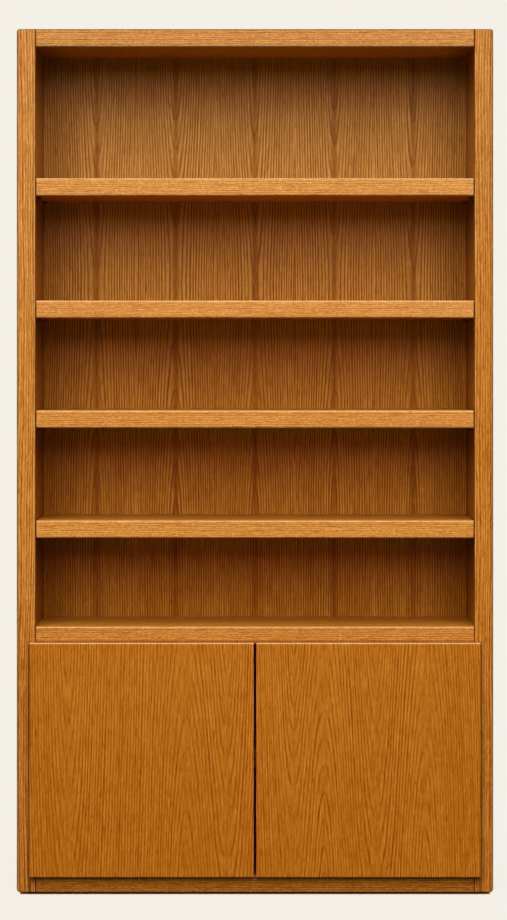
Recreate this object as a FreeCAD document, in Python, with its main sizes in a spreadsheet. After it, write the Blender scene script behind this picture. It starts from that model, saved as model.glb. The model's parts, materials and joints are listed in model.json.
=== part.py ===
import FreeCAD, Part
import math
import os
import re

import Sketcher

# Bookcase with open shelves over a two-door cabinet, veneered oak boards.
# Frame: +Z up, +X to the right seen from the front, the front faces -Y.
# Origin: on the floor, in the middle of the closed piece's width and depth.
# Right-hand pieces mirror the left-hand ones about X = 0.

# ---------------------------------------------------------------- sizes, in mm
SIZES = {
    # case
    "case_width": 990,
    "case_height": 1794,
    "case_depth": 305,
    "side_thickness": 39,
    "board_thickness": 36.5,
    "lipping_depth": 8,
    "side_arris_radius": 3,
    "board_arris_radius": 4,
    "top_corner_radius": 6,
    "foot_corner_radius": 8,
    "deck_height": 552,
    # back
    "back_thickness": 6,
    "back_inset": 2,
    "rebate_width": 10,
    "back_edge_clearance": 0.5,
    # shelves and their pins
    "pin_spacing": 25.4,
    "pin_diameter": 5,
    "pin_hole_depth": 10,
    "pin_row_setback": 37,
    "upper_row_start": 54,
    "upper_row_holes": 39,
    "cabinet_row_start": 90,
    "cabinet_row_holes": 11,
    "shelf_1_hole": 33,
    "shelf_2_hole": 23,
    "shelf_3_hole": 14,
    "shelf_4_hole": 5,
    "cabinet_shelf_hole": 5,
    "shelf_end_clearance": 2,
    "shelf_back_clearance": 1,
    "cabinet_shelf_setback": 25,
    "support_rise": 3,
    "support_length": 9,
    "support_width": 8,
    "collar_diameter": 7.5,
    "collar_thickness": 1,
    # glides
    "glide_height": 3,
    "glide_diameter": 25,
    "glide_setback": 45,
    "glide_edge": 0.8,
    "nail_diameter": 2.2,
    "nail_length": 16,
    "nail_head_diameter": 6,
    "nail_head_thickness": 1,
    "nail_recess": 1.6,
    "nail_recess_diameter": 6.4,
    # doors
    "door_thickness": 19,
    "door_gap": 3,
    "door_overlay": 12.5,
    "door_centre_gap": 4,
    "door_foot_overlap": 2.5,
    "door_deck_overlap": 4.5,
    "door_edging": 3,
    "door_arris_radius": 2.9,
    # hinges
    "hinge_end_distance": 75,
    "pivot_setin": 8.5,
    "pivot_depth": 9.5,
    "pivot_pin_diameter": 3,
    "pivot_pin_length": 15,
    "knuckle_diameter": 5.8,
    "cup_diameter": 35,
    "cup_depth": 13.5,
    "cup_tab": 3.5,
    "cup_wall": 1,
    "cup_floor": 0.8,
    "lug_thickness": 3,
    "lug_clearance": 0.3,
    "lug_bite": 0.3,
    "flange_thickness": 1,
    "flange_length": 56,
    "flange_front": 9,
    "flange_back": 15.5,
    "cup_screw_spacing": 45,
    "cup_screw_setback": 9.5,
    "arm_thickness": 2.4,
    "arm_width": 9,
    "arm_reach": 15,
    "arm_foot_length": 24,
    "plate_thickness": 2,
    "plate_setback": 3,
    "plate_depth": 29,
    "plate_height": 42,
    "plate_corner_radius": 4,
    "plate_screw_spacing": 30,
    "plate_screw_setback": 12,
    "arm_screw_diameter": 4,
    "arm_screw_setback": 18,
    # touch latches
    "latch_offset": 24,
    "latch_setback": 6,
    "latch_width": 15,
    "latch_height": 15,
    "latch_length": 62,
    "latch_bore_diameter": 9,
    "latch_bore_depth": 54,
    "ear_span": 33,
    "ear_length": 18,
    "ear_thickness": 3,
    "ear_screw_spacing": 24,
    "plunger_diameter": 8.4,
    "plunger_length": 36,
    "plunger_travel": 2.5,
    "plunger_clearance": 0.3,
    "tail_diameter": 3,
    "tail_length": 12,
    "spring_diameter": 6.4,
    "spring_wire": 0.8,
    "spring_coils": 7,
    "strike_length": 34,
    "strike_height": 14,
    "strike_thickness": 1,
    "strike_screw_spacing": 24,
    # screws
    "screw_diameter": 3.5,
    "screw_head_diameter": 7,
    "screw_head_thickness": 1.6,
    "screw_crown_diameter": 4.2,
    "back_screw_length": 18,
    "side_back_screws": 7,
    "back_screw_end_distance": 70,
    "board_back_screw_spacing": 260,
    "plate_screw_length": 18,
    "cup_screw_length": 12,
    "latch_screw_length": 15,
    "strike_screw_length": 10,
    "hole_clearance": 0.05,
    "hole_runout": 1,
    # dowels and cam fittings
    "joint_setback": 50,
    "dowel_spacing": 32,
    "dowel_diameter": 8,
    "dowel_length": 38,
    "dowel_in_side": 14,
    "cam_diameter": 15,
    "cam_length": 22,
    "cam_setback": 34,
    "cam_mouth_diameter": 7.4,
    "bolt_thread_diameter": 6,
    "bolt_thread_length": 12,
    "bolt_stem_diameter": 5,
    "bolt_head_diameter": 6.8,
    "bolt_head_length": 4,
    "bolt_hole_diameter": 8,
}

# --------------------------------------- places and sizes that follow from them
FORMULAS = {
    "half_width": "case_width / 2",
    "inner_half": "half_width - side_thickness",
    "inner_width": "case_width - 2 * side_thickness",
    "front_plane": "(door_gap + door_thickness - case_depth) / 2",
    "rear_plane": "front_plane + case_depth",
    "back_face": "rear_plane - back_inset - back_thickness",
    "board_front": "front_plane + lipping_depth",
    "board_depth": "back_face - board_front",
    "base_level": "glide_height",
    "top_level": "base_level + case_height",
    "deck_top": "base_level + deck_height",
    "deck_underside": "deck_top - board_thickness",
    "bottom_top": "base_level + board_thickness",
    "upper_row_level": "deck_top + upper_row_start",
    "cabinet_row_level": "bottom_top + cabinet_row_start",
    "front_row": "front_plane + pin_row_setback",
    "rear_row": "back_face - pin_row_setback",
    "door_back": "front_plane - door_gap",
    "door_front": "door_back - door_thickness",
    "door_outer": "inner_half + door_overlay",
    "door_width": "door_outer - door_centre_gap / 2",
    "door_foot": "bottom_top - door_foot_overlap",
    "door_head": "deck_underside + door_deck_overlap",
    "door_height": "door_head - door_foot",
    "lower_hinge": "door_foot + hinge_end_distance",
    "hinge_span": "door_height - 2 * hinge_end_distance",
    "pivot_x": "pivot_setin - door_outer",
    "pivot_y": "door_back - pivot_depth",
    "cup_x": "cup_tab + cup_diameter / 2 - door_outer",
    "cup_radius": "cup_diameter / 2 - hole_clearance",
    "bowl_radius": "cup_radius - cup_wall",
    "latch_axis": "deck_underside - latch_height / 2",
    "latch_front": "front_plane + latch_setback",
    "bore_end": "latch_front + latch_bore_depth",
    "plunger_tip": "door_back + strike_thickness + plunger_clearance",
    "shoulder": "plunger_tip + plunger_length",
}

TOLERANCE = 0.01  # how closely two sizes of the model have to agree

MIRROR_NORMAL = FreeCAD.Vector(1, 0, 0)
LEFT_TO_RIGHT = FreeCAD.Vector(1, 0, 0)
BACKWARD = FreeCAD.Vector(0, 1, 0)
UP = FreeCAD.Vector(0, 0, 1)

doc = FreeCAD.newDocument("Bookcase")
sheet = doc.addObject("Spreadsheet::Sheet", "dims")
for row, (alias, size) in enumerate(SIZES.items(), start=1):
    sheet.set(f"A{row}", alias.replace("_", " "))
    sheet.set(f"B{row}", str(size))
    sheet.setAlias(f"B{row}", alias)
doc.recompute()

parts = {}


# ------------------------------------------------------------ formulas of sizes
def expand(formula):
    """Write a formula of named sizes as an expression on the spreadsheet."""

    def swap(match):
        word = match.group(0)
        if word in FORMULAS:
            return "(" + expand(FORMULAS[word]) + ")"
        return "dims." + word if word in SIZES else word

    return re.sub(r"[a-z][a-z_0-9]*", swap, formula)


def mm(formula):
    """The present value of a formula of named sizes."""
    return float(sheet.evalExpression(expand(formula)))


def bind(thing, path, formula):
    """Tie a property to a formula of named sizes."""
    thing.setExpression(path, expand(formula))


# ------------------------------------------------------------- sketch and solid
def new_body(name, x="0", y="0", z="0"):
    """A body whose local origin lies at the given place."""
    body = doc.addObject("PartDesign::Body", name)
    body.Label = name
    for axis, formula in zip("xyz", (x, y, z)):
        bind(body, "Placement.Base." + axis, formula)
    return body


def new_sketch(body, name, role, offset="0"):
    """A sketch on one of the body's own origin planes, moved along its normal."""
    sketch = body.newObject("Sketcher::SketchObject", name)
    plane = [item for item in body.Origin.OriginFeatures if item.Role == role][0]
    sketch.AttachmentSupport = [(plane, "")]
    sketch.MapMode = "FlatFace"
    bind(sketch, "AttachmentOffset.Base.z", offset)
    return sketch


def fix_point(sketch, shape, end, x, y):
    """Hold one point of a sketch at two formulas from the sketch's origin."""
    for kind, axis, formula in (("DistanceX", -2, x), ("DistanceY", -1, y)):
        if formula == "0":
            sketch.addConstraint(Sketcher.Constraint("PointOnObject", shape, end, axis))
            continue
        rule = Sketcher.Constraint(kind, -1, 1, shape, end, mm(formula))
        number = sketch.addConstraint(rule)
        label = f"{kind}_{shape}_{end}"
        sketch.renameConstraint(number, label)
        bind(sketch, "Constraints." + label, formula)


def add_polygon(sketch, corners):
    """A closed outline of straight lines through corners given as formulas."""
    places = [FreeCAD.Vector(mm(x), mm(y), 0) for x, y in corners]
    following = places[1:] + places[:1]
    lines = [
        sketch.addGeometry(Part.LineSegment(here, there), False)
        for here, there in zip(places, following)
    ]
    for line, next_line in zip(lines, lines[1:] + lines[:1]):
        sketch.addConstraint(Sketcher.Constraint("Coincident", line, 2, next_line, 1))
    for line, (x, y) in zip(lines, corners):
        fix_point(sketch, line, 1, x, y)


def add_rectangle(sketch, left, low, right, high):
    """A rectangle between two opposite corners."""
    add_polygon(sketch, [(left, low), (right, low), (right, high), (left, high)])


def add_circle(sketch, x, y, diameter):
    """A circle at a place given by formulas."""
    centre = FreeCAD.Vector(mm(x), mm(y), 0)
    shape = sketch.addGeometry(Part.Circle(centre, UP, mm(diameter) / 2), False)
    fix_point(sketch, shape, 3, x, y)
    number = sketch.addConstraint(Sketcher.Constraint("Diameter", shape, mm(diameter)))
    label = f"Diameter_{shape}"
    sketch.renameConstraint(number, label)
    bind(sketch, "Constraints." + label, diameter)


def extrude(body, kind, sketch, length, reverse=False, middle=False):
    """A pad or a pocket of a sketch; a pocket has to take something away."""
    before = body.Shape.Volume if kind == "Pocket" else 0
    feature = body.newObject("PartDesign::" + kind, sketch.Name + "_" + kind.lower())
    feature.Profile = sketch
    bind(feature, "Length", length)
    feature.Reversed = reverse
    feature.Midplane = middle
    doc.recompute()
    if kind == "Pocket" and feature.Shape.Volume > before - TOLERANCE:
        raise ValueError(feature.Name + " cuts nothing")
    return feature


def pad(body, sketch, length, **options):
    return extrude(body, "Pad", sketch, length, **options)


def pocket(body, sketch, length, **options):
    return extrude(body, "Pocket", sketch, length, **options)


def repeat(body, name, features, sketch, axis, spacing, count):
    """Copies of features along an axis of a sketch, at a fixed spacing."""
    pattern = body.newObject("PartDesign::LinearPattern", name)
    pattern.Originals = features
    pattern.Direction = (sketch, [axis])
    pattern.Mode = "Spacing"
    bind(pattern, "Offset", spacing)
    bind(pattern, "Occurrences", count)
    body.Tip = pattern
    doc.recompute()
    return pattern


def round_edges(body, name, radius, chosen):
    """Round the edges whose box passes a test against the whole solid's box."""
    base = body.Tip
    whole = base.Shape.BoundBox
    names = []
    for number, edge in enumerate(base.Shape.Edges, start=1):
        if chosen(edge.BoundBox, whole):
            names.append(f"Edge{number}")
    fillet = body.newObject("PartDesign::Fillet", name)
    fillet.Base = (base, names)
    bind(fillet, "Radius", radius)
    doc.recompute()
    return fillet


def near(one, other):
    """Whether two lengths agree."""
    return abs(one - other) < TOLERANCE


def at_front(box, whole):
    """Whether an edge lies in the front plane of its piece."""
    return near(box.YMax, whole.YMin)


def keep(piece, name):
    """Register a finished piece under its node name."""
    piece.Label = name
    parts[name] = piece
    return piece


def mirror(name, source):
    """The right-hand twin of a left-hand piece."""
    twin = doc.addObject("Part::Mirroring", name)
    twin.Source = source
    twin.Normal = MIRROR_NORMAL
    return keep(twin, name)


# ----------------------------------------------------- hardware placed by loops
def drill(start, direction, diameter, depth):
    """A drilled hole as a cylinder, with the clearance that every hole has."""
    radius = diameter / 2 + mm("hole_clearance")
    return Part.makeCylinder(radius, depth, start, direction)


def bored(name, blank, holes):
    """The blank with its drilled holes cut away."""
    blank.Label = name + "_blank"
    tool = doc.addObject("Part::Feature", name + "_holes")
    tool.Shape = Part.makeCompound(holes)
    cut = doc.addObject("Part::Cut", name)
    cut.Base = blank
    cut.Tool = tool
    return keep(cut, name)


def group(name, shapes):
    """Identical loose pieces kept together in one node."""
    piece = doc.addObject("Part::Feature", name)
    piece.Shape = Part.makeCompound(shapes)
    return keep(piece, name)


def turned(outline, start, direction):
    """A solid of revolution from (along, radius) pairs, set along a direction."""
    corners = [FreeCAD.Vector(radius, 0, along) for along, radius in outline]
    face = Part.Face(Part.makePolygon(corners + corners[:1]))
    solid = face.revolve(FreeCAD.Vector(0, 0, 0), UP, 360)
    turn = FreeCAD.Rotation(UP, direction)
    solid.Placement = FreeCAD.Placement(start, turn)
    return solid


def screw(start, direction, length):
    """A pan-head wood screw; start is where its head meets the surface."""
    head = mm("screw_head_diameter") / 2
    crown = mm("screw_head_thickness")
    shank = mm("screw_diameter") / 2
    outline = [
        (-crown, 0),
        (-crown, mm("screw_crown_diameter") / 2),
        (-crown / 2, head),
        (0, head),
        (0, shank),
        (length - 2 * shank, shank),
        (length, 0),
    ]
    return turned(outline, start, direction)


def screw_hole(start, direction, length):
    """The hole that a wood screw needs below its head."""
    return drill(start, direction, mm("screw_diameter"), length + mm("hole_runout"))


def both_sides(places):
    """The given places and their mirror images."""
    twins = [FreeCAD.Vector(-spot.x, spot.y, spot.z) for spot in places]
    return places + twins


def joint_heights():
    """The mid-levels of the three boards fixed between the sides."""
    half = mm("board_thickness") / 2
    return [mm("top_level") - half, mm("deck_top") - half, mm("base_level") + half]


def cam_rows():
    """The two depths at which the cam fittings lie."""
    setback = mm("joint_setback")
    return [mm("front_plane") + setback, mm("back_face") - setback]


def dowel_rows():
    """The two depths at which the dowels lie."""
    front, rear = cam_rows()
    return [front + mm("dowel_spacing"), rear - mm("dowel_spacing")]


def hinge_heights():
    """The levels of the lower and the upper hinge."""
    return [mm("lower_hinge"), mm("lower_hinge + hinge_span")]


def dowel_starts():
    """Where each left-hand dowel begins, inside the side panel."""
    left = -mm("inner_half") - mm("dowel_in_side")
    return [
        FreeCAD.Vector(left, depth, height)
        for height in joint_heights()
        for depth in dowel_rows()
    ]


def bolt_starts():
    """Where each left-hand cam bolt leaves the side panel."""
    return [
        FreeCAD.Vector(-mm("inner_half"), depth, height)
        for height in joint_heights()
        for depth in cam_rows()
    ]


def back_screw_starts_left():
    """The back's screws into the left side panel, at its rear face."""
    count = int(mm("side_back_screws"))
    low = mm("base_level + back_screw_end_distance")
    high = mm("top_level - back_screw_end_distance")
    step = (high - low) / (count - 1)
    x = -mm("inner_half + (rebate_width - back_edge_clearance) / 2")
    rear = mm("back_face + back_thickness")
    return [FreeCAD.Vector(x, rear, low + step * turn) for turn in range(count)]


def back_screw_starts_board(height):
    """The back's screws into one of the fixed boards, at its rear face."""
    spacing = mm("board_back_screw_spacing")
    rear = mm("back_face + back_thickness")
    return [FreeCAD.Vector(spacing * place, rear, height) for place in (-1, 0, 1)]


def plate_screw_starts():
    """The screws of the left-hand hinge plates, at the plates' faces."""
    x = mm("plate_thickness - inner_half")
    y = mm("front_plane + plate_setback + plate_screw_setback")
    half = mm("plate_screw_spacing") / 2
    return [
        FreeCAD.Vector(x, y, height + side * half)
        for height in hinge_heights()
        for side in (-1, 1)
    ]


def glide_places():
    """The centres of the left-hand glides on the floor."""
    x = -mm("half_width - side_thickness / 2")
    setback = mm("glide_setback")
    front = mm("front_plane") + setback
    rear = mm("rear_plane") - setback
    return [FreeCAD.Vector(x, front, 0), FreeCAD.Vector(x, rear, 0)]


def latch_screw_starts():
    """The screws of the left-hand latch, at the underside of its ears."""
    half = mm("ear_screw_spacing") / 2
    y = mm("latch_front + latch_length / 2")
    z = mm("deck_underside - ear_thickness")
    return [FreeCAD.Vector(side * half - mm("latch_offset"), y, z) for side in (-1, 1)]


def strike_screw_starts():
    """The screws of the left-hand strike plate, at the plate's face."""
    half = mm("strike_screw_spacing") / 2
    y = mm("door_back + strike_thickness")
    z = mm("latch_axis")
    return [FreeCAD.Vector(side * half - mm("latch_offset"), y, z) for side in (-1, 1)]


def cup_screw_starts():
    """The screws of the left-hand hinge cups, at the flanges' faces."""
    x = mm("cup_x + cup_screw_setback")
    y = mm("door_back + flange_thickness")
    half = mm("cup_screw_spacing") / 2
    return [
        FreeCAD.Vector(x, y, height + side * half)
        for height in hinge_heights()
        for side in (-1, 1)
    ]


# ------------------------------------------------------------------------- case
def make_side():
    """The left side: a rebated panel with pin holes, and its front lipping."""
    panel = new_body("left_side_blank", "-half_width", "board_front", "base_level")
    plan = new_sketch(panel, "side_plan", "XY_Plane")
    depth = "case_depth - lipping_depth"
    floor = "board_depth"
    inner = "side_thickness - rebate_width"
    add_polygon(
        plan,
        [
            ("0", "0"),
            ("side_thickness", "0"),
            ("side_thickness", floor),
            (inner, floor),
            (inner, depth),
            ("0", depth),
        ],
    )
    pad(panel, plan, "case_height")
    round_side_corners(panel, "side")
    bore_pin_rows(panel, "upper", "upper_row_level", "upper_row_holes")
    bore_pin_rows(panel, "cabinet", "cabinet_row_level", "cabinet_row_holes")
    left = bored("left_side_panel", panel, side_holes())
    mirror("right_side_panel", left)

    strip = new_body("left_side_lipping", "-half_width", "front_plane", "base_level")
    section = new_sketch(strip, "side_lipping_plan", "XY_Plane")
    add_rectangle(section, "0", "0", "side_thickness", "lipping_depth")
    pad(strip, section, "case_height")
    round_side_corners(strip, "lipping")
    round_edges(strip, "lipping_arris", "side_arris_radius", at_front)
    keep(strip, "left_side_lipping")
    mirror("right_side_lipping", strip)


def round_side_corners(body, name):
    """Round the outer bottom and the outer top corner of a side, front to back."""

    def foot(box, whole):
        runs_back = near(box.YLength, whole.YLength)
        return runs_back and near(box.XMax, whole.XMin) and near(box.ZMax, whole.ZMin)

    def head(box, whole):
        runs_back = near(box.YLength, whole.YLength)
        return runs_back and near(box.XMax, whole.XMin) and near(box.ZMin, whole.ZMax)

    round_edges(body, name + "_foot_corner", "foot_corner_radius", foot)
    round_edges(body, name + "_top_corner", "top_corner_radius", head)


def bore_pin_rows(panel, name, level, count):
    """Two columns of shelf-pin holes in the inner face of the left side."""
    sketch = new_sketch(panel, name + "_pins", "YZ_Plane", "side_thickness")
    for row in ("front_row", "rear_row"):
        diameter = "pin_diameter + 2 * hole_clearance"
        add_circle(sketch, row + " - board_front", level + " - base_level", diameter)
    first = pocket(panel, sketch, "pin_hole_depth")
    repeat(panel, name + "_pin_row", [first], sketch, "V_Axis", "pin_spacing", count)


def side_holes():
    """Every hole of the left side for dowels, bolts, screws and nails."""
    inward = -LEFT_TO_RIGHT
    runout = mm("hole_runout")
    holes = []
    for start in dowel_starts():
        length = mm("dowel_in_side") + runout
        mouth = FreeCAD.Vector(-mm("inner_half"), start.y, start.z)
        holes.append(drill(mouth, inward, mm("dowel_diameter"), length))
    for start in bolt_starts():
        length = mm("bolt_thread_length") + runout
        holes.append(drill(start, inward, mm("bolt_thread_diameter"), length))
    for start in back_screw_starts_left():
        holes.append(screw_hole(start, -BACKWARD, mm("back_screw_length")))
    for start in plate_screw_starts():
        holes.append(screw_hole(start, inward, mm("plate_screw_length")))
    for place in glide_places():
        reach = mm("nail_recess + nail_length") + runout
        holes.append(drill(place, UP, mm("nail_diameter"), reach))
    return holes


def make_board(name, left, front, level, width, depth, holes=()):
    """A flat veneered board with its corner at the given place."""
    board = new_body(name, left, front, level)
    plan = new_sketch(board, name + "_plan", "XY_Plane")
    add_rectangle(plan, "0", "0", width, depth)
    pad(board, plan, "board_thickness")
    if holes:
        return bored(name, board, list(holes))
    return keep(board, name)


def make_lipping(name, left, front, level, width):
    """The solid strip on a board's front edge, with rounded arrises."""
    strip = new_body(name, left, front, level)
    plan = new_sketch(strip, name + "_plan", "XY_Plane")
    add_rectangle(plan, "0", "0", width, "lipping_depth")
    pad(strip, plan, "board_thickness")

    def long_front(box, whole):
        return at_front(box, whole) and near(box.XLength, whole.XLength)

    round_edges(strip, name + "_arris", "board_arris_radius", long_front)
    return keep(strip, name)


def fixed_board_holes(height, cam_face, cam_direction):
    """The holes at both ends of a fixed board, and those for the back's screws."""
    runout = mm("hole_runout")
    inner = mm("inner_half")
    holes = []
    for start in both_sides([spot for spot in dowel_starts() if near(spot.z, height)]):
        mouth = FreeCAD.Vector(math.copysign(inner, start.x), start.y, height)
        along = LEFT_TO_RIGHT * (-1 if start.x > 0 else 1)
        length = mm("dowel_length - dowel_in_side") + runout
        holes.append(drill(mouth, along, mm("dowel_diameter"), length))
    for start in both_sides([spot for spot in bolt_starts() if near(spot.z, height)]):
        along = LEFT_TO_RIGHT * (-1 if start.x > 0 else 1)
        holes.append(drill(start, along, mm("bolt_hole_diameter"), mm("cam_setback")))
        centre = start + along * mm("cam_setback")
        mouth = FreeCAD.Vector(centre.x, centre.y, cam_face)
        depth = mm("cam_length") + runout
        holes.append(drill(mouth, cam_direction, mm("cam_diameter"), depth))
    for start in back_screw_starts_board(height):
        holes.append(screw_hole(start, -BACKWARD, mm("back_screw_length")))
    return holes


def make_fixed_boards():
    """The top, the cabinet's deck and the bottom, with their lippings."""
    top, deck, bottom = joint_heights()
    latch_holes = [
        screw_hole(start, UP, mm("latch_screw_length"))
        for start in both_sides(latch_screw_starts())
    ]
    boards = (
        ("top", "top_panel", "top_level - board_thickness",
         fixed_board_holes(top, mm("top_level"), -UP)),
        ("deck", "cabinet_deck", "deck_underside",
         fixed_board_holes(deck, mm("deck_underside"), UP) + latch_holes),
        ("bottom", "bottom_panel", "base_level",
         fixed_board_holes(bottom, mm("base_level"), UP)),
    )
    for short, name, level, holes in boards:
        make_board(name, "-inner_half", "board_front", level, "inner_width", "board_depth", holes)
        make_lipping(short + "_lipping", "-inner_half", "front_plane", level, "inner_width")


def make_back():
    """The back panel in the rebates of the sides, and its screws."""
    reach = "inner_half + rebate_width - back_edge_clearance"
    low = "base_level + back_edge_clearance"
    panel = new_body("back_blank", f"-({reach})", "back_face", low)
    plan = new_sketch(panel, "back_plan", "XY_Plane")
    add_rectangle(plan, "0", "0", f"2 * ({reach})", "back_thickness")
    pad(panel, plan, "case_height - 2 * back_edge_clearance")
    starts = both_sides(back_screw_starts_left())
    for height in joint_heights():
        starts += back_screw_starts_board(height)
    length = mm("back_screw_length")
    bored("back_panel", panel, [screw_hole(start, -BACKWARD, length) for start in starts])
    group("back_screws", [screw(start, -BACKWARD, length) for start in starts])


def make_shelf(name, level, setback):
    """A loose shelf between the sides, resting on four pins."""
    left = "shelf_end_clearance - inner_half"
    width = "inner_width - 2 * shelf_end_clearance"
    front = f"board_front + {setback}"
    depth = f"board_depth - {setback} - shelf_back_clearance"
    make_board(name, left, front, level, width, depth)
    make_lipping(name + "_lipping", left, f"front_plane + {setback}", level, width)


def shelf_levels():
    """Each shelf's name, pin level and setback from the front plane."""
    upper = "upper_row_level + {} * pin_spacing"
    rows = [
        (f"shelf_{number}", upper.format(f"shelf_{number}_hole"), "0")
        for number in (1, 2, 3, 4)
    ]
    cabinet = "cabinet_row_level + cabinet_shelf_hole * pin_spacing"
    return rows + [("cabinet_shelf", cabinet, "cabinet_shelf_setback")]


def shelf_pin(x, y, z, inward):
    """A shelf support: a peg in its hole, a collar and a flat-topped tongue."""
    spot = FreeCAD.Vector(x, y, z)
    along = LEFT_TO_RIGHT * inward
    peg_length = mm("pin_hole_depth - hole_clearance")
    collar = mm("collar_thickness")
    peg = Part.makeCylinder(mm("pin_diameter") / 2, peg_length, spot, -along)
    disc = Part.makeCylinder(mm("collar_diameter") / 2, collar, spot, along)
    length = mm("support_length")
    width = mm("support_width")
    rise = mm("support_rise")
    left = x if inward > 0 else x - length
    tongue = Part.makeBox(length, width, 2 * rise, FreeCAD.Vector(left, y - width / 2, z - rise))
    return peg.fuse([disc, tongue]).removeSplitter()


def make_shelves():
    """The five loose shelves and the twenty pins that carry them."""
    pins = []
    inner = mm("inner_half")
    for name, level, setback in shelf_levels():
        make_shelf(name, level + " + support_rise", setback)
        for row in ("front_row", "rear_row"):
            pins.append(shelf_pin(-inner, mm(row), mm(level), 1))
            pins.append(shelf_pin(inner, mm(row), mm(level), -1))
    group("shelf_pins", pins)


def make_joinery():
    """The dowels, the cam bolts and the cams that hold the case together."""
    dowels = []
    for start in both_sides(dowel_starts()):
        along = LEFT_TO_RIGHT * (-1 if start.x > 0 else 1)
        radius = mm("dowel_diameter") / 2
        dowels.append(Part.makeCylinder(radius, mm("dowel_length"), start, along))
    group("joint_dowels", dowels)

    bolts = []
    cams = []
    cam_faces = (
        (mm("top_level"), -UP),
        (mm("deck_underside"), UP),
        (mm("base_level"), UP),
    )
    faces = dict(zip(joint_heights(), cam_faces))
    for start in both_sides(bolt_starts()):
        along = LEFT_TO_RIGHT * (-1 if start.x > 0 else 1)
        bolts.append(cam_bolt(start, along))
        face, direction = faces[start.z]
        cams.append(cam(start, along, face, direction))
    group("cam_bolts", bolts)
    group("cam_discs", cams)


def cam_bolt(start, along):
    """A bolt screwed into the side, whose head lies in the middle of its cam."""
    thread = mm("bolt_thread_diameter") / 2
    stem = mm("bolt_stem_diameter") / 2
    head = mm("bolt_head_diameter") / 2
    reach = mm("cam_setback + bolt_head_length / 2")
    outline = [
        (-mm("bolt_thread_length"), 0),
        (-mm("bolt_thread_length"), thread),
        (0, thread),
        (thread, stem),
        (reach - mm("bolt_head_length"), stem),
        (reach - mm("bolt_head_length"), head),
        (reach, head),
        (reach, 0),
    ]
    return turned(outline, start, along)


def cam(start, along, face, direction):
    """A cam in its bore, with the mouth that takes the bolt's head."""
    centre = start + along * mm("cam_setback")
    foot = FreeCAD.Vector(centre.x, centre.y, face)
    disc = Part.makeCylinder(mm("cam_diameter") / 2, mm("cam_length"), foot, direction)
    mouth = mm("cam_mouth_diameter") / 2
    reach = mm("cam_setback + bolt_head_length")
    return disc.cut(Part.makeCylinder(mouth, reach, start, along))


def make_glides():
    """Four nailed floor glides under the sides."""
    body = new_body("floor_glides")
    plan = new_sketch(body, "glide_plan", "XY_Plane")
    recess = new_sketch(body, "glide_recess", "XY_Plane")
    bore = new_sketch(body, "glide_bore", "XY_Plane")
    for x in ("-(half_width - side_thickness / 2)", "half_width - side_thickness / 2"):
        for y in ("front_plane + glide_setback", "rear_plane - glide_setback"):
            add_circle(plan, x, y, "glide_diameter")
            add_circle(recess, x, y, "nail_recess_diameter")
            add_circle(bore, x, y, "nail_diameter + 2 * hole_clearance")
    pad(body, plan, "glide_height")
    pocket(body, bore, "glide_height", reverse=True)
    pocket(body, recess, "nail_recess", reverse=True)

    def foot_rim(box, whole):
        wide = near(box.XLength, mm("glide_diameter"))
        return wide and near(box.ZMax, whole.ZMin)

    round_edges(body, "glide_edge_round", "glide_edge", foot_rim)
    keep(body, "floor_glides")

    head = mm("nail_head_diameter") / 2
    shank = mm("nail_diameter") / 2
    length = mm("nail_length")
    outline = [
        (-mm("nail_head_thickness"), 0),
        (-mm("nail_head_thickness"), head),
        (0, head),
        (0, shank),
        (length - 2 * shank, shank),
        (length, 0),
    ]
    lift = UP * mm("nail_recess")
    places = both_sides(glide_places())
    group("glide_nails", [turned(outline, place + lift, UP) for place in places])


# ------------------------------------------------------------------------ doors
def make_doors():
    """Two slab doors: a veneered panel inside an edging, bored for the hinges."""
    left = "door_edging - door_outer"
    panel = new_body("left_door_blank", left, "door_front", "door_foot + door_edging")
    plan = new_sketch(panel, "door_plan", "XY_Plane")
    add_rectangle(plan, "0", "0", "door_width - 2 * door_edging", "door_thickness")
    pad(panel, plan, "door_height - 2 * door_edging")
    door = bored("left_door_panel", panel, door_holes())
    mirror("right_door_panel", door)

    band = new_body("left_door_edging", "-door_outer", "door_front", "door_foot")
    front = new_sketch(band, "door_edging_front", "XZ_Plane", "-door_thickness")
    add_rectangle(front, "0", "0", "door_width", "door_height")
    inner = ("door_edging", "door_edging", "door_width - door_edging", "door_height - door_edging")
    add_rectangle(front, *inner)
    pad(band, front, "door_thickness")

    def outer_rim(box, whole):
        on_face = near(box.YMax, whole.YMin) or near(box.YMin, whole.YMax)
        level = near(box.ZMin, whole.ZMax) or near(box.ZMax, whole.ZMin)
        upright = near(box.XMin, whole.XMax) or near(box.XMax, whole.XMin)
        return on_face and (level or upright)

    round_edges(band, "door_arris_round", "door_arris_radius", outer_rim)
    keep(band, "left_door_edging")
    mirror("right_door_edging", band)


def door_holes():
    """The holes in the back of the left door for cups, strike and screws."""
    into_door = -BACKWARD
    back = mm("door_back")
    holes = []
    for height in hinge_heights():
        centre = FreeCAD.Vector(mm("cup_x"), back, height)
        depth = mm("cup_depth + hole_clearance")
        holes.append(Part.makeCylinder(mm("cup_diameter") / 2, depth, centre, into_door))
    for start in cup_screw_starts():
        mouth = FreeCAD.Vector(start.x, back, start.z)
        holes.append(screw_hole(mouth, into_door, mm("cup_screw_length - flange_thickness")))
    for start in strike_screw_starts():
        mouth = FreeCAD.Vector(start.x, back, start.z)
        holes.append(screw_hole(mouth, into_door, mm("strike_screw_length - strike_thickness")))
    return holes


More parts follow.
